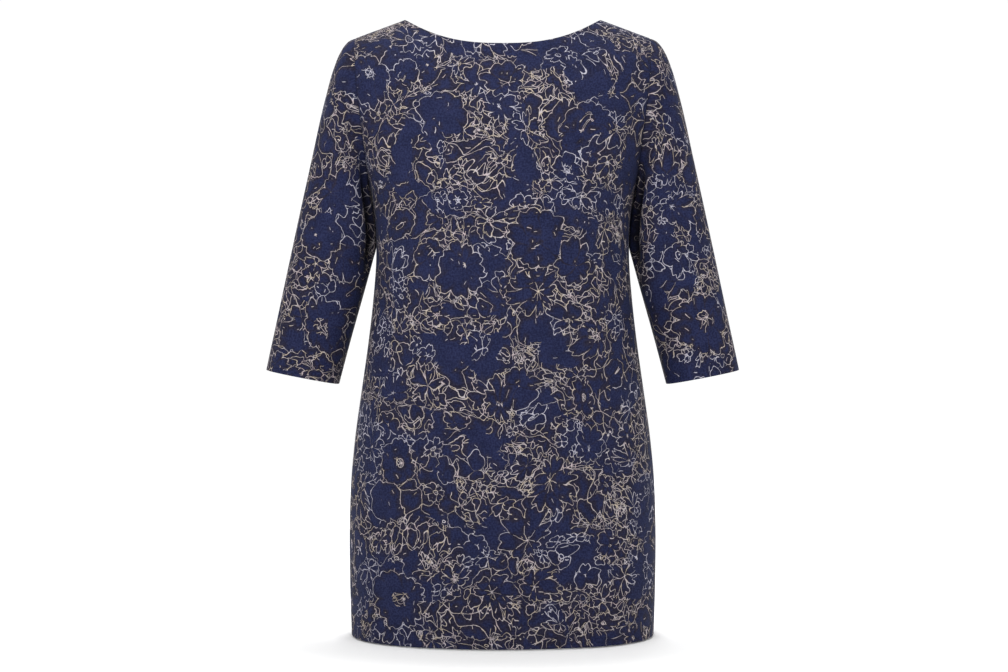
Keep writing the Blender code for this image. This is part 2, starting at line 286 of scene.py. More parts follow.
# outer face of a panel as rows from hem to shoulder and columns from the right seam to the left one
def panelGrid(side):
    u, v = panelColumns(), panelRows()
    angles = np.pi * u

    def levelRow(z):
        x = halfWidth(np.full(len(u), z)) * ovalAcross(angles)
        return lengthOfFall(shoulderHeight(x) - z)

    underarm, shoulder = panelLook["underarm"], panelLook["shoulder"]
    turnTop = clothLook["hemTurn"] + panelLook["aboveTurn"]
    band = -body["hemBelow"] + turnTop
    sideZ = band + np.clip(v / underarm, 0, 1) * (-body["underarmBelow"] - band)
    armTurn = np.clip((v - underarm) / (1 - underarm), 0, 1) * np.pi
    armAngle, armLength = armholeEdge((1 - np.cos(armTurn)) / 2)
    onSide = v <= underarm
    rightAngle = np.where(onSide, 0.0, armAngle)
    rightLength = np.where(onSide, lengthOfFall(shoulderHeight(halfWidth(sideZ)) - sideZ), armLength)

    fold = np.minimum(u, 1 - u)
    neckHalf, shoulderHalf = body["neckHalf"], body["shoulderHalf"]
    outer = shoulderHalf + (neckHalf - shoulderHalf) * fold / shoulder
    neckTurn = np.clip((fold - shoulder) / (1 - 2 * shoulder), 0, 1) * np.pi
    inner = neckHalf * np.cos(neckTurn)
    topX = np.where(fold <= shoulder, outer, inner) * np.where(u <= 0.5, 1, -1)
    dip = body["neckDrop"][side] * (1 - np.clip(np.abs(topX) / neckHalf, 0, 1) ** body["neckCurve"])
    topZ = np.where(fold > shoulder, -dip, shoulderHeight(topX))
    topLength = lengthOfFall(np.maximum(shoulderHeight(topX) - topZ, 0))

    angle = fillInside(angles, ovalAngle(topX, topZ), rightAngle, np.pi - rightAngle, u, v)
    length = fillInside(levelRow(band), topLength, rightLength, rightLength, u, v)
    angle = np.vstack([np.tile(angles, (len(hemHeights()), 1)), angle])
    length = np.vstack([np.stack([levelRow(z - body["hemBelow"]) for z in hemHeights()]), length])
    return bodyPoint(side, angle, length), angle, length, u


# unit normals of a grid: the cross product of its steps along the rows and up the columns
def outward(grid, closed):
    if closed:
        padded = np.concatenate([grid[:, -1:], grid, grid[:, :1]], axis=1)
        along = np.gradient(padded, axis=1)[:, 1:-1]
    else:
        along = np.gradient(grid, axis=1)
    return unitOf(np.cross(along, np.gradient(grid, axis=0)))


def runningLength(grid, axis):
    steps = np.linalg.norm(np.diff(grid, axis=axis), axis=-1)
    pad = [(1, 0), (0, 0)] if axis == 0 else [(0, 0), (1, 0)]
    return np.pad(np.cumsum(steps, axis=axis), pad)


# direction across an armhole seam, from the body to the +X sleeve
def acrossArmhole():
    rise = shoulderHeight(body["shoulderHalf"]) + body["underarmBelow"]
    lean = body["shoulderHalf"] - halfWidth(np.array(-body["underarmBelow"]))
    return unitOf(np.array([rise, 0.0, -lean]))


def holdSide(offsets, direction, sign):  # takes out the part of an offset that crosses the armhole seam
    crossing = np.minimum(sign * (offsets @ direction), 0)
    held = offsets - sign * crossing[..., None] * direction
    return unitOf(held) * np.linalg.norm(offsets, axis=-1, keepdims=True)


# an edge rounded to a half circle of radius r: the face drops by r less the circle's height at distance d
def roundedDrop(d, r):
    inside = r - np.minimum(d, r)
    return clothLook["edgeRound"] * (r - np.sqrt(np.maximum(r * r - inside * inside, 0)))


# thickness of the wall: turned-up cloth near an end, and seam allowances beside a seam
def wallAt(fromEnd, turn, fromSeam):
    look = clothLook
    inTurn = 1 - softStep((fromEnd - turn) / look["turnFade"])
    inSeam = 1 - softStep((fromSeam - look["allowanceWidth"]) / look["allowanceFade"])
    return look["wall"] + (look["turnWall"] - look["wall"]) * inTurn + look["allowance"] * inSeam


# the outer face with its rounded edges and its groove at a seam, and the way from the grid to the inner face
def bothFaces(grid, normals, wall, rounding, fromSeam):
    dip = clothLook["seamDip"] * np.exp(-(fromSeam / clothLook["seamReach"]) ** 2)
    return grid - normals * (rounding + dip)[..., None], -normals * (wall - rounding)[..., None]


# troughs and ridges: each is a line in cloth metres, a bell across it and a fade at both of its ends;
# the cloth beside a trough is raised by the given share of its depth
def creaseHeight(u, v, creases, bank=0.45):
    height = np.zeros_like(u)
    for (u0, v0), (u1, v1), width, depth, bow in creases:
        run = np.hypot(u1 - u0, v1 - v0)
        alongX, alongY = (u1 - u0) / run, (v1 - v0) / run
        t = ((u - u0) * alongX + (v - v0) * alongY) / run
        aside = (v - v0) * alongX - (u - u0) * alongY - bow * 4 * t * (1 - t)
        spread = width * (0.7 + 0.6 * np.clip(t, 0, 1))
        fade = softStep((t + 0.15) / 0.45) * softStep((1.15 - t) / 0.45)
        bell = np.exp(-(aside / spread) ** 2) - bank * np.exp(-((aside - 1.7 * spread) / spread) ** 2)
        bell = bell - bank * np.exp(-((aside + 1.7 * spread) / spread) ** 2)
        height = height - depth * fade * bell
    return height


# Faces of a thin closed body: outer grid, inner grid, and the rims between their edges.
# Each corner keeps its place in the grid, so the two maps can differ from the points at a closed tube's seam.
def shellCorners(rows, columns, closed):
    span = columns if closed else columns - 1
    i, j = (a.ravel() for a in np.meshgrid(np.arange(rows - 1), np.arange(span), indexing="ij"))
    low, ring = np.arange(rows - 1), np.arange(span)
    still, around, back, rim = (0, 0, 0, 0), (0, 1, 1, 0), (1, 0, 0, 1), (0, 0, 1, 1)

    def part(name, i, j, up, right, layer):
        return name, np.stack([i + step for step in up], 1), np.stack([j + step for step in right], 1), layer

    parts = [
        part("outer", i, j, (0, 0, 1, 1), around, still),
        part("inner", i, j, (1, 1, 0, 0), around, (1, 1, 1, 1)),
        part("bottom", 0 * ring, ring, still, back, rim),
        part("top", 0 * ring + rows - 1, ring, still, around, rim),
    ]
    if not closed:
        parts.append(part("right", low, 0 * low, around, still, rim))
        parts.append(part("left", low, 0 * low + columns - 1, back, still, rim))
    return parts


# the bake map, start and size of each strip: the outer face takes the left of the square, the inner one
# a narrower strip beside it, and each rim a thin strip along its own edge of the outer face
bakeLook = {
    "outer": (0.02, 0.62), "inner": (0.665, 0.315), "height": (0.02, 0.96),
    "bottom": (0.004, 0.010), "top": (0.986, 0.010), "right": (0.003, 0.010), "left": (0.645, 0.010),
}


def bakePlace(part, across, up, layer):
    right = (part, layer) if part in ("right", "left") else ("inner" if part == "inner" else "outer", across)
    upward = (part, layer) if part in ("bottom", "top") else ("height", up)
    places = [bakeLook[strip][0] + bakeLook[strip][1] * value for strip, value in (right, upward)]
    return np.stack(places, axis=-1)


def addShell(name, outer, inner, clothMap, across, up, fromEdge, inFold, closed):
    rows, columns = outer.shape[:2]
    points = np.concatenate([outer.reshape(-1, 3), inner.reshape(-1, 3)])
    corners, cloth, bake = [], [], []
    for part, i, j, layer in shellCorners(rows, columns, closed):
        layer = np.broadcast_to(np.array(layer), i.shape)
        corners.append(i * columns + j % columns + layer * rows * columns)
        cloth.append(clothMap[i, j].reshape(-1, 2))
        bake.append(bakePlace(part, across[j], up[i], layer).reshape(-1, 2))
    corners = np.concatenate(corners)
    mesh = bpy.data.meshes.new(name)
    mesh.from_pydata(points.tolist(), [], corners.tolist())
    for label, values in (("cutCloth", cloth), ("OFBake", bake)):
        layerMap = mesh.uv_layers.new(name=label)
        layerMap.data.foreach_set("uv", np.concatenate(values).astype(np.float32).ravel())
    count = rows * columns
    for label, values in (
        ("wrongSide", np.repeat([0.0, 1.0], count)),
        ("fromEdge", np.tile(fromEdge.ravel(), 2)),
        # share of painted shade on the cloth deep in the underarm fold
        ("inFold", np.tile(inFold.ravel(), 2)),
    ):
        mesh.attributes.new(label, "FLOAT", "POINT").data.foreach_set("value", values.astype(np.float32))
    mesh.shade_smooth()
    mesh.set_sharp_from_angle(angle=np.radians(55))
    print(name, "triangles", 2 * len(corners))
    return newObject(name, mesh)


# place on the flat cloth: arc round the level section from the centre line, and length below the
# shoulder line; the arcs are read from a table between its rows and columns
def bodyMap(side, angle, length, x, z):
    heights = np.linspace(mapLook["top"], body["hemBelow"], mapLook["rows"])
    turns = np.linspace(0, np.pi, mapLook["columns"])
    last = len(turns) - 1
    wide = halfWidth(-heights)[:, None] * ovalAcross(turns)[None, :]
    deep = sectionAt(-heights, body["depthColumn"][side])[:, None] * ovalDeep(turns)[None, :]
    arc = np.pad(np.cumsum(np.hypot(np.diff(wide), np.diff(deep)), axis=1), [(0, 0), (1, 0)])
    arc = arc[:, last // 2, None] - arc
    row = np.clip((-z - heights[0]) / (heights[1] - heights[0]), 0, len(heights) - 1.001)
    column = np.clip(angle / np.pi * last, 0, last - 0.001)
    i, j = row.astype(int), column.astype(int)
    a, b = row - i, column - j
    low = (1 - b) * arc[i, j] + b * arc[i, j + 1]
    high = (1 - b) * arc[i + 1, j] + b * arc[i + 1, j + 1]
    u = (1 - a) * low + a * high
    return np.stack([u if side == "front" else -u, shoulderHeight(x) - length], axis=-1)


# creases in cloth metres: start, end, width, depth (a ridge is negative), bow
panelCreases = {
    "front": (
        ((-0.088, -0.935), (-0.096, -0.840), 0.0062, 0.0022, 0.002),
        ((0.064, -0.935), (0.055, -0.800), 0.0085, 0.0013, -0.003),
        ((-0.175, -0.330), (-0.120, -0.372), 0.0070, 0.0012, 0.003),
        ((0.178, -0.338), (0.128, -0.388), 0.0065, 0.0010, -0.003),
        ((-0.205, -0.400), (-0.150, -0.418), 0.0060, 0.0007, 0.002),
        ((0.206, -0.412), (0.158, -0.428), 0.0055, 0.0007, -0.002),
        ((-0.150, -0.130), (-0.185, -0.215), 0.0080, 0.0011, 0.004),
        ((0.152, -0.128), (0.186, -0.222), 0.0075, 0.0010, -0.004),
        ((0.010, -0.930), (0.018, -0.760), 0.0120, 0.0009, 0.003),
        ((-0.150, -0.915), (-0.140, -0.700), 0.0110, 0.0010, -0.003),
        ((0.155, -0.920), (0.146, -0.720), 0.0110, 0.0009, 0.004),
    ),
    "back": (
        ((-0.060, -0.400), (0.045, -0.412), 0.0090, 0.0014, 0.004),
        ((-0.150, -0.385), (-0.070, -0.440), 0.0080, 0.0012, 0.004),
        ((0.160, -0.380), (0.080, -0.446), 0.0085, 0.0013, -0.004),
        ((-0.165, -0.200), (-0.120, -0.290), 0.0080, 0.0010, -0.003),
        ((0.168, -0.195), (0.126, -0.300), 0.0075, 0.0011, 0.003),
        ((-0.075, -0.930), (-0.085, -0.760), 0.0100, 0.0011, 0.002),
        ((0.090, -0.925), (0.082, -0.740), 0.0110, 0.0010, -0.003),
        ((0.004, -0.930), (0.010, -0.820), 0.0080, 0.0008, 0.002),
    ),
}
sleeveCreases = (
    ((0.035, -0.235), (0.135, -0.262), 0.0070, 0.0013, 0.004),
    ((0.050, -0.270), (0.140, -0.285), 0.0060, 0.0011, 0.003),
    ((-0.130, -0.250), (-0.040, -0.232), 0.0075, 0.0012, 0.004),
    ((0.150, -0.150), (0.070, -0.190), 0.0080, 0.0010, 0.004),
    ((-0.150, -0.160), (-0.080, -0.205), 0.0080, 0.0010, -0.004),
    ((0.060, -0.020), (0.085, -0.110), 0.0090, 0.0009, -0.003),
    ((-0.060, -0.015), (-0.080, -0.110), 0.0090, 0.0009, 0.003),
    ((0.020, -0.440), (0.010, -0.330), 0.0100, 0.0008, 0.002),
)


# broad hollows without banks: along the armholes, and deep in the fold between sleeve and body
panelHollows = {
    "front": (
        ((-0.194, -0.090), (-0.200, -0.250), 0.0120, 0.0026, 0.0),
        ((0.195, -0.085), (0.202, -0.245), 0.0115, 0.0024, 0.0),
    ),
    "back": (
        ((-0.190, -0.100), (-0.196, -0.240), 0.0120, 0.0024, 0.0),
        ((0.189, -0.095), (0.195, -0.245), 0.0125, 0.0026, 0.0),
    ),
}
sleeveHollows = (
    ((-0.142, -0.070), (-0.170, -0.215), 0.0165, 0.0150, -0.005),
    ((0.120, -0.060), (0.138, -0.190), 0.0110, 0.0060, 0.004),
    ((-0.064, 0.045), (-0.104, -0.050), 0.0120, 0.0030, 0.0),
    ((0.066, 0.040), (0.106, -0.055), 0.0120, 0.0028, 0.0),
)


def addPanel(name, side, mapShift):
    grid, angle, length, across = panelGrid(side)
    cloth = bodyMap(side, angle, length, grid[..., 0], grid[..., 2])
    if side == "front":
        grid, cloth, across = grid[:, ::-1], cloth[:, ::-1], across[::-1]
    rows, columns = grid.shape[:2]
    alongRow, upColumn = runningLength(grid, 1), runningLength(grid, 0)
    fromSide = np.minimum(alongRow, alongRow[:, -1:] - alongRow)
    fromTop, fromHem = upColumn[-1:] - upColumn, upColumn
    onShoulder = (np.minimum(across, 1 - across) <= panelLook["shoulder"] + 1e-9)[None, :]
    fromSeam = np.minimum(fromSide, np.where(onShoulder, fromTop, 1.0))
    fromNeck = np.where(onShoulder, 1.0, fromTop)

    look = clothLook
    calm = softStep(fromSide / look["calm"]) * softStep(fromTop / look["calm"])
    u, v = cloth[..., 0], cloth[..., 1]
    height = creaseHeight(u, v, panelCreases[side])
    height = (height + creaseHeight(u, v, panelHollows[side], 0.0)) * calm
    grid = grid + outward(grid, False) * height[..., None]
    normals = outward(grid, False)
    armRows = np.arange(rows) >= len(hemHeights()) + panelLook["sideRows"] - 1
    normals[~armRows, 0, 1] = 0
    normals[~armRows, -1, 1] = 0
    normals[-1, onShoulder[0], 1] = 0
    normals = unitOf(normals)

    neckFade = 1 - softStep((fromNeck - look["neckTurn"]) / look["neckFade"])
    wall = wallAt(fromHem, look["hemTurn"], fromSeam) + (look["neckWall"] - look["wall"]) * neckFade
    rounding = roundedDrop(fromHem, wall / 2) + roundedDrop(fromNeck, wall / 2)
    outer, offsets = bothFaces(grid, normals, wall, rounding, fromSeam)
    for column, sign in ((0, np.sign(grid[0, 0, 0])), (-1, np.sign(grid[0, -1, 0]))):
        nearEdge = np.zeros((rows, columns), bool)
        half = slice(0, columns // 2) if column == 0 else slice(columns // 2, columns)
        nearEdge[armRows, half] = fromSide[armRows, half] < look["seamHold"]
        offsets[nearEdge] = holdSide(offsets[nearEdge], acrossArmhole() * np.array([sign, 1, 1]), -1)
    shift = np.array([0, -0.5 if side == "front" else 0.5, 0]) * look["seamGap"]
    up = upColumn[:, columns // 2] / upColumn[-1, columns // 2]
    inner, inFold = grid + offsets + shift, np.zeros_like(height)
    return addShell(name, outer + shift, inner, cloth + mapShift, across, up, fromHem, inFold, False)


# point on a sleeve edge at a share of its length
def sleeveEdge(rows, share):
    run = np.concatenate([[0], np.cumsum(np.linalg.norm(np.diff(rows, axis=0), axis=1))])
    table = np.column_stack([run / run[-1], rows])
    x, below = smoothTable(table, share, 1), smoothTable(table, share, 2)
    return np.stack([x, np.zeros_like(x), -below], axis=-1)


# the inner side of the sleeve is pushed out along X until it just lies along the body's side
def clearOfBody(grid):
    x, y, z = np.moveaxis(grid, -1, 0)
    power = body["ovalPower"]
    depth = np.where(y < 0, sectionAt(z, 2), sectionAt(z, 3))
    share = np.clip(np.abs(y) / depth, 0, 1)
    side = halfWidth(z) * (1 - share ** power) ** (1 / power) + sleeveLook["clear"]
    below = softStep((-z - body["underarmBelow"]) / sleeveLook["clearFade"])
    return np.stack([x + np.maximum(side - x, 0) * below, y, z], axis=-1)


# rings round the sleeve from armhole to cuff, each a superellipse between the two edges; near the body
# the rings keep the armhole's shape, which fades out along the sleeve; columns start at the underarm
def sleeveGrid():
    length, turn = sleeveLook["length"], sleeveLook["turn"]
    start = seamSteps / length
    fold = [turn + 0.0018, turn + 0.0008, turn, turn - 0.001, turn - 0.004, 0.012, 0.008]
    cuff = 1 - np.concatenate([fold, edgeSteps[::-1]]) / length
    share = np.concatenate([start, np.linspace(start[-1], cuff[0], sleeveLook["rings"])[1:-1], cuff])
    outer = sleeveEdge(sleeveLook["outer"], share)
    inner = sleeveEdge(sleeveLook["inner"], share ** sleeveLook["innerSpacing"])
    middle = (outer + inner) / 2
    middle[:, 1] = -smoothTable(sleeveLook["depths"], share, 2)
    halfDepth = smoothTable(sleeveLook["depths"], share, 1)
    turns = np.pi + np.linspace(0, 2 * np.pi, sleeveLook["columns"], endpoint=False)
    deep = np.sign(np.sin(turns)) * np.abs(np.sin(turns)) ** (2 / body["ovalPower"])
    grid = middle[:, None] + ((outer - inner) / 2)[:, None] * ovalAcross(turns)[None, :, None]
    grid[..., 1] -= halfDepth[:, None] * deep[None, :]
    armAngle, armLength = armholeEdge((1 + np.cos(turns)) / 2)
    front, back = bodyPoint("front", armAngle, armLength), bodyPoint("back", armAngle, armLength)
    loop = np.where((deep > 0)[:, None], front, back) + acrossArmhole() * clothLook["seamGap"]
    fade = 1 - softStep(share / sleeveLook["capBlend"])
    grid = grid + (loop - grid[0]) * fade[:, None, None]
    grid[1:] = clearOfBody(grid[1:])
    return grid, share


# place on the flat cloth: share of a turn round the sleeve's axis times its flat girth, and length along the axis
def sleeveMap(grid, sign):
    closedGrid = np.concatenate([grid, grid[:, :1]], axis=1)
    top, end = grid[0].mean(axis=0), grid[-1].mean(axis=0)
    axis = unitOf(end - top)
    outAxis = unitOf(np.array([-axis[2], 0.0, axis[0]]))
    frontAxis = np.cross(outAxis, axis)
    along = (closedGrid - top) @ axis
    arm = closedGrid - closedGrid.mean(axis=1, keepdims=True)
    turn = np.unwrap(np.arctan2(arm @ frontAxis, arm @ outAxis), axis=1)
    turn = turn - np.round(turn.mean(axis=1, keepdims=True) / (2 * np.pi)) * 2 * np.pi
    girth = np.interp(along, [0.0, along.max()], sleeveLook["girth"])
    return np.stack([sign * turn * girth / (2 * np.pi), -along], axis=-1)


def addSleeve(name, sign, mapShift):
    grid, share = sleeveGrid()
    cloth = sleeveMap(grid, sign)
    columns = grid.shape[1]
    closedGrid = np.concatenate([grid, grid[:, :1]], axis=1)
    alongRing = runningLength(closedGrid, 1)
    fromUnder = np.minimum(alongRing, alongRing[:, -1:] - alongRing)[:, :-1]
    upColumn = runningLength(grid, 0)
    fromTop, fromEnd = upColumn, upColumn[-1:] - upColumn
    fromSeam = np.minimum(fromUnder, fromTop)
    calm = softStep(fromUnder / clothLook["calmUnder"]) * softStep(fromTop / clothLook["calm"])
    u, v = cloth[:, :-1, 0] * sign, cloth[:, :-1, 1]
    hollow = creaseHeight(u, v, sleeveHollows, 0.0) * calm
    height = creaseHeight(u, v, sleeveCreases) * calm + hollow
    # painted shade: the deeper the underarm hollow, the more the cloth's colour is darkened
    inFold = softStep(-hollow / (sleeveLook["foldShadeFull"] * sleeveHollows[0][3]))
    grid = grid + outward(grid, True) * height[..., None]
    normals = outward(grid, True)

    wall = wallAt(fromEnd, sleeveLook["turn"], fromSeam)
    rounding = roundedDrop(fromEnd, wall / 2)
    outer, offsets = bothFaces(grid, normals, wall, rounding, fromSeam)
    nearEdge = fromTop < clothLook["seamHold"]
    offsets[nearEdge] = holdSide(offsets[nearEdge], acrossArmhole(), 1)
    mirror = np.array([sign, 1, 1])
    outer, inner = outer * mirror, (grid + offsets) * mirror
    across = np.linspace(0, 1, columns + 1)
    if sign < 0:  # mirrored rings run the other way round, so their columns are turned back
        outer, inner, fromEnd, inFold = (
            np.roll(item[:, ::-1], 1, axis=1) for item in (outer, inner, fromEnd, inFold))
        cloth, across = cloth[:, ::-1], across[::-1]
    return addShell(name, outer, inner, cloth + mapShift, across, 1 - share, fromEnd, inFold, True)


# a new group takes a vector and numbers with the given usual values; its outputs are all of one kind
def newGroup(name, values, outputs, kind="Float"):
    tree = bpy.data.node_groups.new(name, "ShaderNodeTree")
    tree.interface.new_socket(name="Vector", in_out="INPUT", socket_type="NodeSocketVector")
    for label, value in values.items():
        socket = tree.interface.new_socket(name=label, in_out="INPUT", socket_type="NodeSocketFloat")
        socket.default_value = value
    for label in outputs:
        tree.interface.new_socket(name=label, in_out="OUTPUT", socket_type="NodeSocket" + kind)
    return tree, tree.nodes.new("NodeGroupInput").outputs, tree.nodes.new("NodeGroupOutput").inputs


# a new node goes into the tree that its first linked input comes from
def newNode(kind, values):
    source = next(value for value in values if hasattr(value, "is_output"))
    return source.id_data.nodes.new("ShaderNode" + kind)


def feed(socket, value):
    if hasattr(value, "is_output"):
        socket.id_data.links.new(value, socket)
    else:
        socket.default_value = value


def fill(node, values):
    for label, value in values.items():
        feed(node.inputs[label], value)
    return node


def calc(operation, *values):
    node = newNode("Math", values)
    node.operation = operation
    for socket, value in zip(node.inputs, values):
        feed(socket, value)
    return node.outputs[0]


# the usual sums by name; timesPlus(a, b, c) is a * b + c
times, plus, minus, over = (partial(calc, name) for name in ("MULTIPLY", "ADD", "SUBTRACT", "DIVIDE"))
timesPlus, sizeOf = partial(calc, "MULTIPLY_ADD"), partial(calc, "ABSOLUTE")
larger, smaller = partial(calc, "MAXIMUM"), partial(calc, "MINIMUM")


def move(operation, *values):
    node = newNode("VectorMath", values)
    node.operation = operation
    sockets = [node.inputs["Vector"], node.inputs["Scale"]] if operation == "SCALE" else node.inputs
    for socket, value in zip(sockets, values):
        feed(socket, value)
    return node.outputs[0]


def split(vector):
    node = newNode("SeparateXYZ", (vector,))
    feed(node.inputs[0], vector)
    return node.outputs["X"], node.outputs["Y"], node.outputs["Z"]


def fit(value, low, high, start=0.0, end=1.0):
    node = newNode("MapRange", (value,))
    for socket, item in zip(node.inputs, (value, low, high, start, end)):
        feed(socket, item)
    return node.outputs[0]


def cloud(vector, scale, detail=1.0, output="Fac"):
    node = newNode("TexNoise", (vector,))
    node.noise_dimensions = "2D"
    return fill(node, {"Vector": vector, "Scale": scale, "Detail": detail}).outputs[output]


def cells(vector, size, jitter, feature="F1"):
    node = newNode("TexVoronoi", (vector,))
    node.voronoi_dimensions = "2D"
    node.feature = feature
    place = move("SCALE", vector, over(1.0, size))
    return fill(node, {"Vector": place, "Scale": 1.0, "Randomness": jitter}).outputs


def mixColour(share, first, second):
    node = newNode("Mix", (share, first, second))
    node.data_type = "RGBA"
    for socket, item in zip((node.inputs[0], node.inputs[6], node.inputs[7]), (share, first, second)):
        feed(socket, item)
    return node.outputs[2]


def use(group, **values):
    node = newNode("Group", values.values())
    node.node_tree = group
    return fill(node, values).outputs


def again(value, factor):  # a second random number from a first one; the factor only scatters
    return calc("FRACT", times(value, factor))


# A line at a distance of 0 and the rim beside it: both fade out with the distance and show where shown is 1.
def giveLine(give, gap, stroke, shown):
    look = printLook
    line = fit(gap, times(stroke, look["lineEnds"]), times(stroke, look["lineFull"]))
    feed(give["Line"], times(line, shown))
    feed(give["Near"], times(fit(gap, look["rimReach"], look["rimFull"]), shown))


fullTurn = 6.283

# blossoms from large open ones to tiny loops; Absent and Present are cloud values where none and all show
printLayers = {
    "open": {"Cell": 0.104, "Jitter": 0.75, "Radius": 0.045, "Few": 5.0, "Many": 9.0, "NotchLow": 0.55,
             "NotchHigh": 0.84, "Absent": 0.56, "Present": 0.36, "Heart": 0.5, "Lopsided": 0.32},
    "wide": {"Cell": 0.064, "Jitter": 0.8, "Radius": 0.032, "Few": 4.0, "Many": 7.0, "NotchLow": 0.08,
             "NotchHigh": 0.78, "Absent": 0.28, "Present": 0.70, "Heart": 0.35},
    "middle": {"Cell": 0.041, "Jitter": 0.85, "Radius": 0.0215, "Few": 3.0, "Many": 6.0, "NotchLow": 0.08,
               "NotchHigh": 0.70, "Absent": 0.26, "Present": 0.72, "Heart": 0.3},
    "small": {"Cell": 0.023, "Jitter": 0.95, "Radius": 0.0125, "Few": 2.0, "Many": 5.0, "NotchLow": 0.1,
              "NotchHigh": 0.6, "Absent": 0.36, "Present": 0.88, "Heart": 0.3},
}
printLook = {
    "stroke": 0.000295, "strokeChange": 90.0,
    "strokeFit": (0.35, 0.65, 0.78, 1.28),  # cloud from, to; share of the stroke from, to
    "lineFull": 0.65, "lineEnds": 1.35,  # in strokes from the middle of a line
    "rimReach": 0.0065, "rimFull": 0.0025,
    "wide": {"Reach": 0.040, "Fineness": 10.0},
    "slow": {"Reach": 0.014, "Fineness": 30.0},
    "shake": {"Reach": 0.0028, "Fineness": 140.0},
    "loose": {"Reach": 0.030, "Fineness": 50.0},
    "layerShift": (0.37, 0.23),
    "tintChange": 95.0,
    "stray": {"Cell": 0.0125, "Length": 0.0036, "Share": 0.34, "Bow": 60.0},
    "link": {"Cell": 0.050, "Absent": 0.50, "Present": 0.51, "Cloud": 9.0},
    "contourStep": 0.0004, "denseBelow": 0.05, "denseAbove": 0.03,
    "tangles": (
        {"Scale": 19.0, "Detail": 1.0, "Absent": 0.50, "Present": 0.51, "Cloud": 12.0},
        {"Scale": 50.0, "Detail": 1.0, "Absent": 0.535, "Present": 0.545, "Cloud": 15.0},
    ),
}
blossomLook = {  # radii are shares of the blossom's own radius
    "smallest": 0.66,
    "powerLow": 0.35, "powerChange": 0.55, "leastCrest": 0.03,
    "dentPower": 14.0,
    "ringRadius": 0.17, "ringless": 0.72,
    "spokeless": 0.35, "spokeReach": 0.5,
    "coreless": 0.4, "coreAlways": 0.8, "coreRadius": 0.34,
}


# the place, moved by a cloudy offset of the given reach, as an unsteady hand would
def handDrift():
    tree, take, give = newGroup("handDrift", printLook["shake"], ("Vector",), "Vector")
    colour = cloud(take["Vector"], take["Fineness"], 2.0, "Color")
    shift = move("SCALE", move("SUBTRACT", colour, (0.5, 0.5, 0.5)), take["Reach"])
    feed(give["Vector"], move("ADD", take["Vector"], shift))
    return tree


# One blossom in each cell: its outline is a notch share plus a power of |cos(petals * angle / 2)|, with a dent
# at each tip, a small ring at the centre and short strokes between the petals. The distance from the outline
# is the difference in radius over the root of 1 plus the slope squared.
def blossomLines():
    look = blossomLook
    values = {"Stroke": 0.0006, "Cloud": 9.0, "Lopsided": 0.22, **printLayers["small"]}
    tree, take, give = newGroup("blossomLines", values, ("Line", "Inside", "Near"))
    cell = cells(take["Vector"], take["Cell"], take["Jitter"])
    middle = move("SCALE", cell["Position"], take["Cell"])
    x, y, _ = split(move("SUBTRACT", take["Vector"], middle))
    luckA, luckB, luckC = split(cell["Color"])
    chance = fit(cloud(middle, take["Cloud"]), take["Absent"], take["Present"])
    shown = calc("LESS_THAN", again(luckC, 17.3), chance)
    angle = calc("ARCTAN2", y, x)
    radius = larger(calc("SQRT", plus(times(x, x), times(y, y))), 0.0001)
    spread = plus(minus(take["Many"], take["Few"]), 0.999)
    petals = calc("FLOOR", timesPlus(luckA, spread, take["Few"]))
    halfTurn = times(petals, 0.5)
    turn = timesPlus(angle, halfTurn, times(luckB, fullTurn))
    crest = larger(sizeOf(calc("COSINE", turn)), look["leastCrest"])
    flank = sizeOf(calc("SINE", turn))
    power = timesPlus(luckC, look["powerChange"], look["powerLow"])
    lobe = calc("POWER", crest, power)
    notch = fit(again(luckB, 7.3), 0.0, 1.0, take["NotchLow"], take["NotchHigh"])
    full = times(take["Radius"], fit(again(luckA, 11.7), 0.0, 1.0, look["smallest"], 1.0))
    aslant = calc("COSINE", timesPlus(again(luckB, 3.7), fullTurn, angle))
    full = times(full, timesPlus(aslant, take["Lopsided"], 1.0))
    swing = times(full, minus(1.0, notch))
    dent = times(calc("POWER", crest, look["dentPower"]), take["Heart"])
    outline = timesPlus(swing, minus(lobe, dent), times(full, notch))
    steep = times(swing, times(halfTurn, power))
    steep = times(steep, over(times(lobe, flank), crest))
    slope = over(steep, radius)
    gap = sizeOf(minus(radius, outline))
    gap = over(gap, calc("SQRT", timesPlus(slope, slope, 1.0)))
    ring = sizeOf(minus(radius, times(full, look["ringRadius"])))
    spoke = over(times(radius, crest), halfTurn)
    reach = times(full, fit(again(luckC, 5.9), look["spokeless"], 1.0, 0.0, look["spokeReach"]))
    spoke = plus(spoke, calc("GREATER_THAN", radius, reach))
    ring = plus(ring, calc("LESS_THAN", again(luckB, 13.1), look["ringless"]))
    giveLine(give, smaller(smaller(gap, ring), spoke), take["Stroke"], shown)
    core = fit(again(luckA, 3.1), look["coreless"], look["coreAlways"], 0.0, look["coreRadius"])
    core = times(full, core)
    between = times(calc("LESS_THAN", radius, outline), calc("GREATER_THAN", radius, core))
    feed(give["Inside"], times(between, shown))
    return tree


# one short bowed stroke in a share of the cells
def strayStrokes():
    values = {"Stroke": 0.0006, **printLook["stray"]}
    tree, take, give = newGroup("strayStrokes", values, ("Line", "Near"))
    cell = cells(take["Vector"], take["Cell"], 0.9)
    x, y, _ = split(move("SUBTRACT", take["Vector"], move("SCALE", cell["Position"], take["Cell"])))
    luckA, luckB, luckC = split(cell["Color"])
    lean = times(luckA, fullTurn)
    c, s = calc("COSINE", lean), calc("SINE", lean)
    along = timesPlus(x, c, times(y, s))
    aside = minus(times(y, c), times(x, s))
    bow = times(minus(luckB, 0.5), take["Bow"])
    aside = minus(aside, times(times(along, along), bow))
    past = larger(minus(sizeOf(along), times(take["Length"], luckB)), 0.0)
    gap = calc("SQRT", timesPlus(aside, aside, times(past, past)))
    giveLine(give, gap, take["Stroke"], calc("LESS_THAN", luckC, take["Share"]))
    return tree


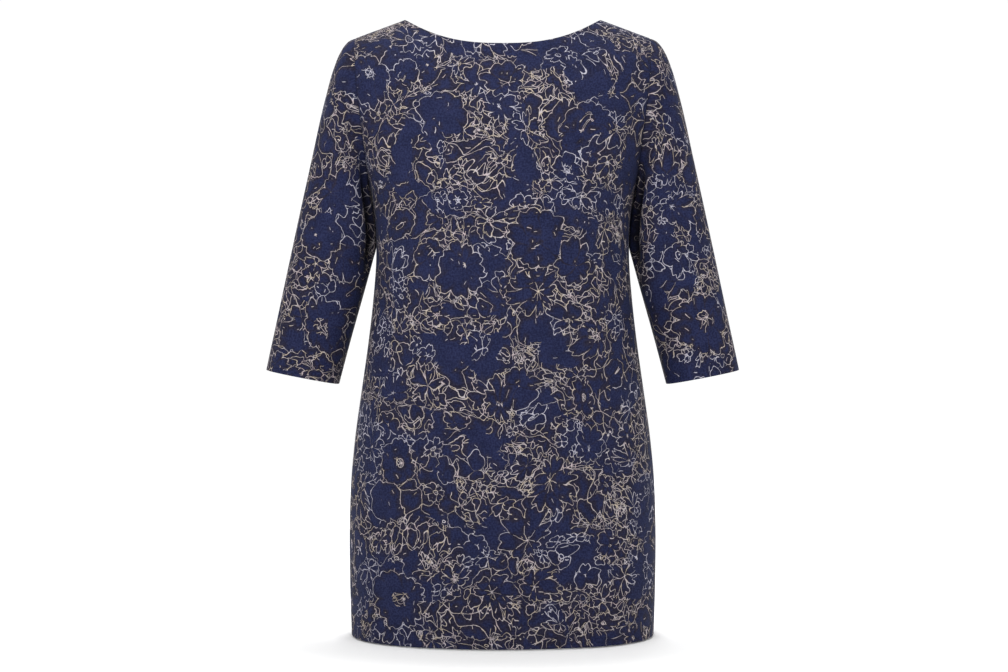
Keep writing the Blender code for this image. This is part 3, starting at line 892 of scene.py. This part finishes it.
# long lines that part the cells of a net, kept where the cloud is dense
def wanderingLines():
    values = {"Stroke": 0.0006, **printLook["link"]}
    tree, take, give = newGroup("wanderingLines", values, ("Line", "Near"))
    edge = cells(take["Vector"], take["Cell"], 1.0, "DISTANCE_TO_EDGE")["Distance"]
    gap = times(edge, take["Cell"])
    kept = fit(cloud(take["Vector"], take["Cloud"]), take["Absent"], take["Present"])
    giveLine(give, gap, take["Stroke"], kept)
    return tree


# Contour lines of two cloudy fields at once: each field's distance from its middle value over its slope,
# the slope taken from two near places. The curves wander, close and cross each other.
def contourLines():
    values = {"Stroke": 0.0006, **printLook["tangles"][0]}
    tree, take, give = newGroup("contourLines", values, ("Line", "Near", "Dense"))
    step = printLook["contourStep"]
    here = split(cloud(take["Vector"], take["Scale"], take["Detail"], "Color"))
    aside = move("ADD", take["Vector"], (step, 0.0, 0.0))
    above = move("ADD", take["Vector"], (0.0, step, 0.0))
    aside = split(cloud(aside, take["Scale"], take["Detail"], "Color"))
    above = split(cloud(above, take["Scale"], take["Detail"], "Color"))
    nearest = 1.0
    for value, right, top in list(zip(here, aside, above))[:2]:
        dx, dy = minus(right, value), minus(top, value)
        steep = calc("SQRT", timesPlus(dx, dx, times(dy, dy)))
        off = times(sizeOf(minus(value, 0.5)), step)
        nearest = smaller(nearest, over(off, larger(steep, 1e-7)))
    density = cloud(take["Vector"], take["Cloud"])
    giveLine(give, nearest, take["Stroke"], fit(density, take["Absent"], take["Present"]))
    around = minus(take["Absent"], printLook["denseBelow"])
    feed(give["Dense"], fit(density, around, plus(take["Present"], printLook["denseAbove"])))
    return tree


def flowerPrint():
    drift, blossom, stray, wander = handDrift(), blossomLines(), strayStrokes(), wanderingLines()
    contour = contourLines()
    look = printLook
    tree, take, give = newGroup("flowerPrint", {"Stroke": 0.0006}, ("Line", "Near", "Dense", "Tint"))

    def drifted(place, name):
        return use(drift, Vector=place, **look[name])["Vector"]

    slow = drifted(drifted(take["Vector"], "wide"), "slow")
    shaky = drifted(slow, "shake")
    weight = fit(cloud(take["Vector"], look["strokeChange"]), *look["strokeFit"])
    stroke = times(take["Stroke"], weight)
    layers, clear, dense = [], 1.0, 0.0
    for order, (name, layer) in enumerate(printLayers.items()):
        right, up = look["layerShift"]
        place = move("ADD", shaky, (right * order, up * order, 0.0))
        out = use(blossom, Vector=place, Stroke=stroke, **layer)
        layers.append((out, clear))
        if name != "small":
            clear = times(clear, minus(1.0, out["Inside"]))
    strokes = use(stray, Vector=slow, Stroke=stroke, **look["stray"])
    linked = drifted(drifted(take["Vector"], "loose"), "shake")
    links = use(wander, Vector=linked, Stroke=stroke, **look["link"])
    layers += [(strokes, 1.0), (links, clear)]
    for tangle in look["tangles"]:
        lines = use(contour, Vector=shaky, Stroke=stroke, **tangle)
        layers.append((lines, clear))
        dense = larger(dense, lines["Dense"])
    for label in ("Line", "Near"):
        total = 0.0
        for out, seen in layers:
            total = larger(total, times(out[label], seen))
        feed(give[label], total)
    feed(give["Dense"], dense)
    feed(give["Tint"], cloud(take["Vector"], look["tintChange"]))
    return tree


weaveLook = {
    "threads": 1700.0,  # to the metre
    "slubAcross": 90.0, "slubAlong": 1100.0,
    "threadShare": 0.6, "slubShare": 0.6,
}


# plain weave: warp and weft threads as crossed waves, uneven in thickness along their run
def plainWeave():
    look = weaveLook
    tree, take, give = newGroup("plainWeave", {"Threads": look["threads"]}, ("Height", "Slub"))
    x, y, _ = split(take["Vector"])
    warp = calc("SINE", times(x, times(take["Threads"], fullTurn)))
    weft = calc("SINE", times(y, times(take["Threads"], fullTurn)))
    slub = cloud(move("MULTIPLY", take["Vector"], (look["slubAcross"], look["slubAlong"], 1.0)), 1.0, 2.0)
    height = timesPlus(times(warp, weft), 0.5, 0.5)
    feed(give["Height"], plus(times(height, look["threadShare"]), times(slub, look["slubShare"])))
    feed(give["Slub"], slub)
    return tree


stitchLook = {
    "turn": 0.0288, "pitch": 0.008,
    "rowWidth": 0.0014, "pressWidth": 0.0022, "press": 0.18,
    "dotStart": 0.16, "dotFull": 0.04,  # shares of the pitch from a stitch's middle
    "depth": 3.0,
}


# a row of small blind stitches at a set distance from the hem or cuff
def hemStitches():
    look = stitchLook
    values = {"FromEdge": 0.0, "Turn": look["turn"], "Pitch": look["pitch"]}
    tree, take, give = newGroup("hemStitches", values, ("Dip",))
    x, _, _ = split(take["Vector"])
    row = sizeOf(minus(take["FromEdge"], take["Turn"]))
    step = calc("FRACT", over(x, take["Pitch"]))
    dot = sizeOf(minus(step, 0.5))
    dip = times(fit(row, look["rowWidth"], 0.0), fit(dot, look["dotStart"], look["dotFull"]))
    feed(give["Dip"], larger(dip, times(fit(row, look["pressWidth"], 0.0), look["press"])))
    return tree


materialLook = {
    "ground": (0.0152, 0.0192, 0.0575, 1.0),
    "groundDeep": (0.0066, 0.0086, 0.0290, 1.0),
    "warmth": (1.22, 0.86, 0.56), "warmLone": 0.45,  # how the ground turns beside and between the lines
    "mottle": 45.0, "mottleShare": 0.20, "mottleFine": 380.0, "fineShare": 0.60, "slubShare": 0.2,
    "mottleLow": 0.40, "mottleHigh": 0.60,
    "lineLone": (0.396, 0.386, 0.448, 1.0),
    "line": (0.394, 0.356, 0.364, 1.0),
    "lineGold": (0.408, 0.344, 0.280, 1.0), "goldEnds": (0.35, 0.50),
    "lineRose": (0.396, 0.330, 0.336, 1.0), "roseEnds": (0.52, 0.66),
    "reverse": (0.026, 0.031, 0.068, 1.0),
    "foldShadeColour": (0.0015, 0.0015, 0.0040, 1.0), "foldShade": 0.92,  # painted shade: colour and amount that darken the cloth deep in the underarm fold
    "reverseLine": 0.35,  # how strongly the print shows through on the wrong side
    "coverFit": (0.25, 0.85, 0.86, 1.0),  # weave height from, to; cover of the lines from, to
    "roughFit": (0.2, 0.9, 0.90, 0.74),  # weave height from, to; roughness from, to
    "shader": {"Specular IOR Level": 0.08, "Sheen Weight": 0.02, "Sheen Roughness": 0.5,
               "Sheen Tint": (0.80, 0.84, 1.0, 1.0)},
    "bump": {"Strength": 0.35, "Distance": 0.00012},
}


def attribute(tree, name):
    node = tree.nodes.new("ShaderNodeAttribute")
    node.attribute_name = name
    return node.outputs["Fac"]


def printedCloth():
    look = materialLook
    material = bpy.data.materials.new("printedCloth")
    material.use_nodes = True
    tree = material.node_tree
    shader = tree.nodes["Principled BSDF"]
    clothMap = tree.nodes.new("ShaderNodeUVMap")
    clothMap.uv_map = "cutCloth"
    place = clothMap.outputs["UV"]
    side, fromEdge, inFold = (attribute(tree, name) for name in ("wrongSide", "fromEdge", "inFold"))
    drawing = use(flowerPrint(), Vector=place, Stroke=printLook["stroke"])
    weave = use(plainWeave(), Vector=place)
    stitches = use(hemStitches(), Vector=place, FromEdge=fromEdge)

    fineCloud = cloud(place, look["mottleFine"], 3.0)
    fine = timesPlus(fineCloud, look["fineShare"], times(weave["Slub"], look["slubShare"]))
    mottle = timesPlus(cloud(place, look["mottle"], 3.0), look["mottleShare"], fine)
    ground = mixColour(fit(mottle, look["mottleLow"], look["mottleHigh"]), look["groundDeep"], look["ground"])
    warm = move("MULTIPLY", ground, look["warmth"])
    warmShare = times(drawing["Near"], fit(drawing["Dense"], 0.0, 1.0, look["warmLone"], 1.0))
    ground = mixColour(warmShare, ground, warm)
    ground = mixColour(side, ground, look["reverse"])
    ink = mixColour(fit(drawing["Tint"], *look["goldEnds"]), look["lineGold"], look["line"])
    ink = mixColour(fit(drawing["Tint"], *look["roseEnds"]), ink, look["lineRose"])
    ink = mixColour(drawing["Dense"], look["lineLone"], ink)
    cover = fit(weave["Height"], *look["coverFit"])
    shows = fit(side, 0.0, 1.0, 1.0, look["reverseLine"])
    colour = mixColour(times(times(drawing["Line"], cover), shows), ground, ink)
    # painted shade: the cloth's colour is darkened towards near-black deep in the underarm fold
    shade = fit(inFold, 0.0, 1.0, 0.0, look["foldShade"])
    feed(shader.inputs["Base Color"], mixColour(shade, colour, look["foldShadeColour"]))
    feed(shader.inputs["Roughness"], fit(weave["Height"], *look["roughFit"]))
    bump = tree.nodes.new("ShaderNodeBump")
    fill(shader, look["shader"])
    fill(bump, look["bump"])
    feed(bump.inputs["Height"], minus(weave["Height"], times(stitches["Dip"], stitchLook["depth"])))
    tree.links.new(bump.outputs["Normal"], shader.inputs["Normal"])
    return material


cameraData = bpy.data.cameras.new("frontCamera")
cameraData.lens = cameraLook["lens"]
cameraData.sensor_width = cameraLook["sensor"]
camera = newObject("frontCamera", cameraData)
camera.location = cameraLook["place"]
camera.rotation_euler = cameraLook["turn"]
scene.camera = camera


def addFloor():
    half, z = studioLook["floorSize"] / 2, studioLook["floorHeight"]
    corners = [(-half, -half, z), (half, -half, z), (half, half, z), (-half, half, z)]
    mesh = bpy.data.meshes.new("floor")
    mesh.from_pydata(corners, [], [(0, 1, 2, 3)])
    material = bpy.data.materials.new("paleFloor")
    material.use_nodes = True
    fill(material.node_tree.nodes["Principled BSDF"], studioLook["floor"])
    mesh.materials.append(material)
    newObject("floor", mesh)


def addLight(name, place, aim, size, spread, watts):
    data = bpy.data.lights.new(name, "AREA")
    data.shape = "DISK"
    data.size = size
    data.energy = watts
    data.spread = np.radians(spread)
    light = newObject(name, data)
    light.location = place
    light.rotation_euler = (Vector(aim) - Vector(place)).to_track_quat("-Z", "Y").to_euler()
    light.visible_camera = False


def lightWorld():
    world = bpy.data.worlds.new("whiteStudio")
    world.use_nodes = True
    fill(world.node_tree.nodes["Background"], studioLook["sky"])
    scene.world = world


addFloor()
for light in studioLights:
    addLight(*light)
lightWorld()
print("camera, floor and light ready")

cloth = printedCloth()
print("cloth material ready")

# each piece is cut from another place of the printed cloth
frontPanel = addPanel("frontPanel", "front", (0.0, 0.0))
backPanel = addPanel("backPanel", "back", (1.61, 0.37))
sleeveRight = addSleeve("sleeveRight", 1, (3.13, 0.52))
sleeveLeft = addSleeve("sleeveLeft", -1, (4.42, -0.71))
for piece in (frontPanel, backPanel, sleeveRight, sleeveLeft):
    piece.data.materials.append(cloth)
    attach(piece, "root")

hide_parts("front")
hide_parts("back")
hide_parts("sleeve_right")
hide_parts("sleeve_left")
